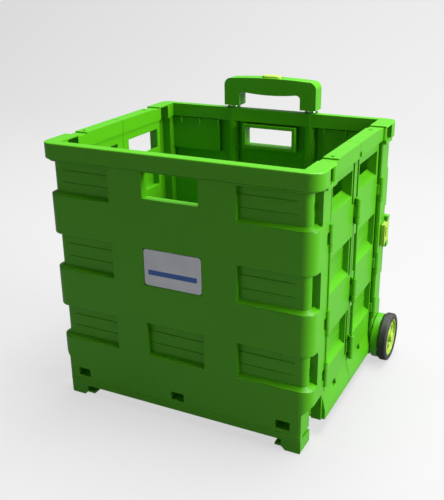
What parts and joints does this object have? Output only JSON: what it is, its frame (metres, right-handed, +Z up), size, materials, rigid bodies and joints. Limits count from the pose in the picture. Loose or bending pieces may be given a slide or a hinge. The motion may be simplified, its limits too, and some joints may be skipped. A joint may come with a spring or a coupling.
{
  "type": "folding crate trolley",
  "caption": "Rigid plastic folding crate on two rear wheels and front feet, with bifold hinged sides, lift-up floor and a telescopic pull handle.",
  "frame": {"origin": "centre of the footprint on the ground, overall box included", "axes": "+X to the cart right seen from the front, +Y towards the handle and wheels, +Z up"},
  "size_m": [0.4672, 0.356, 0.456],
  "materials": {
    "green_plastic": "satin",
    "light_green_plastic": "satin",
    "tyre_black": "matt",
    "tube_chrome": "bright",
    "collar_plastic": "satin",
    "label_plate": "satin",
    "pin_steel": "drawn"
  },
  "bodies": {
    "back": {"back_panel": "green_plastic", "pin_rear_left": "green_plastic", "pin_rear_right": "green_plastic", "floor_pin": "pin_steel", "top_pin_rear_left": "green_plastic", "top_pin_rear_right": "green_plastic", "latch_pin_left": "light_green_plastic", "latch_pin_right": "light_green_plastic", "axle_left": "pin_steel", "axle_right": "pin_steel", "axle_cap_left": "light_green_plastic", "axle_cap_right": "light_green_plastic", "collar_left": "collar_plastic", "collar_right": "collar_plastic"},
    "side_rear_left": {"side_rear_left": "green_plastic", "rail_rear_left": "green_plastic", "pin_middle_left": "green_plastic"},
    "side_front_left": {"side_front_left": "green_plastic", "rail_front_left": "green_plastic"},
    "side_rear_right": {"side_rear_right": "green_plastic", "rail_rear_right": "green_plastic", "pin_middle_right": "green_plastic"},
    "side_front_right": {"side_front_right": "green_plastic", "rail_front_right": "green_plastic"},
    "front": {"front_panel": "green_plastic", "label_plate": "label_plate", "pin_front_left": "green_plastic", "pin_front_right": "green_plastic", "top_pin_front_left": "green_plastic", "top_pin_front_right": "green_plastic"},
    "floor": {"floor_panel": "green_plastic"},
    "handle_stage_left": {"lower_tube_left": "tube_chrome"},
    "handle_stage_right": {"lower_tube_right": "tube_chrome"},
    "handle_grip": {"grip": "green_plastic", "upper_tube_left": "tube_chrome", "upper_tube_right": "tube_chrome"},
    "button": {"grip_button": "light_green_plastic"},
    "wheel_left": {"tyre_left": "tyre_black", "hub_left": "light_green_plastic"},
    "wheel_right": {"tyre_right": "tyre_black", "hub_right": "light_green_plastic"},
    "latch_left": {"latch_left": "light_green_plastic"},
    "latch_right": {"latch_right": "light_green_plastic"}
  },
  "joints": [
    {"name": "fold", "type": "hinge", "parent": "back", "child": "side_rear_left", "pos_m": [-0.205, 0.111, 0.2], "axis": [0, 0, 1], "range_deg": [0, 88]},
    {"name": "middle_hinge_left", "type": "hinge", "parent": "side_rear_left", "child": "side_front_left", "pos_m": [-0.205, -0.0055, 0.2], "axis": [0, 0, 1], "range_deg": [-176, 0]},
    {"name": "front_hinge_left", "type": "hinge", "parent": "side_front_left", "child": "front", "pos_m": [-0.205, -0.122, 0.2], "axis": [0, 0, 1], "range_deg": [0, 88]},
    {"name": "rear_hinge_right", "type": "hinge", "parent": "back", "child": "side_rear_right", "pos_m": [0.205, 0.111, 0.2], "axis": [0, 0, 1], "range_deg": [-88, 0]},
    {"name": "middle_hinge_right", "type": "hinge", "parent": "side_rear_right", "child": "side_front_right", "pos_m": [0.205, -0.0055, 0.2], "axis": [0, 0, 1], "range_deg": [0, 176]},
    {"name": "floor_hinge", "type": "hinge", "parent": "back", "child": "floor", "pos_m": [0, 0.1368, 0.01], "axis": [-1, 0, 0], "range_deg": [0, 90]},
    {"name": "handle_pull", "type": "slide", "parent": "back", "child": "handle_stage_left", "axis": [0, 0, 1], "range_m": [0, 0.26]},
    {"name": "handle_stage_right_slide", "type": "slide", "parent": "back", "child": "handle_stage_right", "axis": [0, 0, 1], "range_m": [0, 0.26]},
    {"name": "handle_grip_slide", "type": "slide", "parent": "handle_stage_left", "child": "handle_grip", "axis": [0, 0, 1], "range_m": [0, 0.26]},
    {"name": "button_press", "type": "slide", "parent": "handle_grip", "child": "button", "axis": [0, 0, -1], "range_m": [0, 0.003]},
    {"name": "wheel_left_spin", "type": "hinge", "parent": "back", "child": "wheel_left", "pos_m": [-0.225, 0.138, 0.04], "axis": [1, 0, 0], "continuous": true},
    {"name": "wheel_right_spin", "type": "hinge", "parent": "back", "child": "wheel_right", "pos_m": [0.225, 0.138, 0.04], "axis": [1, 0, 0], "continuous": true},
    {"name": "latch_left_hinge", "type": "hinge", "parent": "back", "child": "latch_left", "pos_m": [-0.2074, 0.1535, 0.222], "axis": [0, 0, -1], "range_deg": [0, 90]},
    {"name": "latch_right_hinge", "type": "hinge", "parent": "back", "child": "latch_right", "pos_m": [0.2074, 0.1535, 0.222], "axis": [0, 0, 1], "range_deg": [0, 90]}
  ],
  "couplings": [
    {"joint": "middle_hinge_left", "follows": "fold", "ratio": -2},
    {"joint": "front_hinge_left", "follows": "fold", "ratio": 1},
    {"joint": "rear_hinge_right", "follows": "fold", "ratio": -1},
    {"joint": "middle_hinge_right", "follows": "fold", "ratio": 2},
    {"joint": "handle_stage_right_slide", "follows": "handle_pull", "ratio": 1},
    {"joint": "handle_grip_slide", "follows": "handle_pull", "ratio": 1}
  ]
}
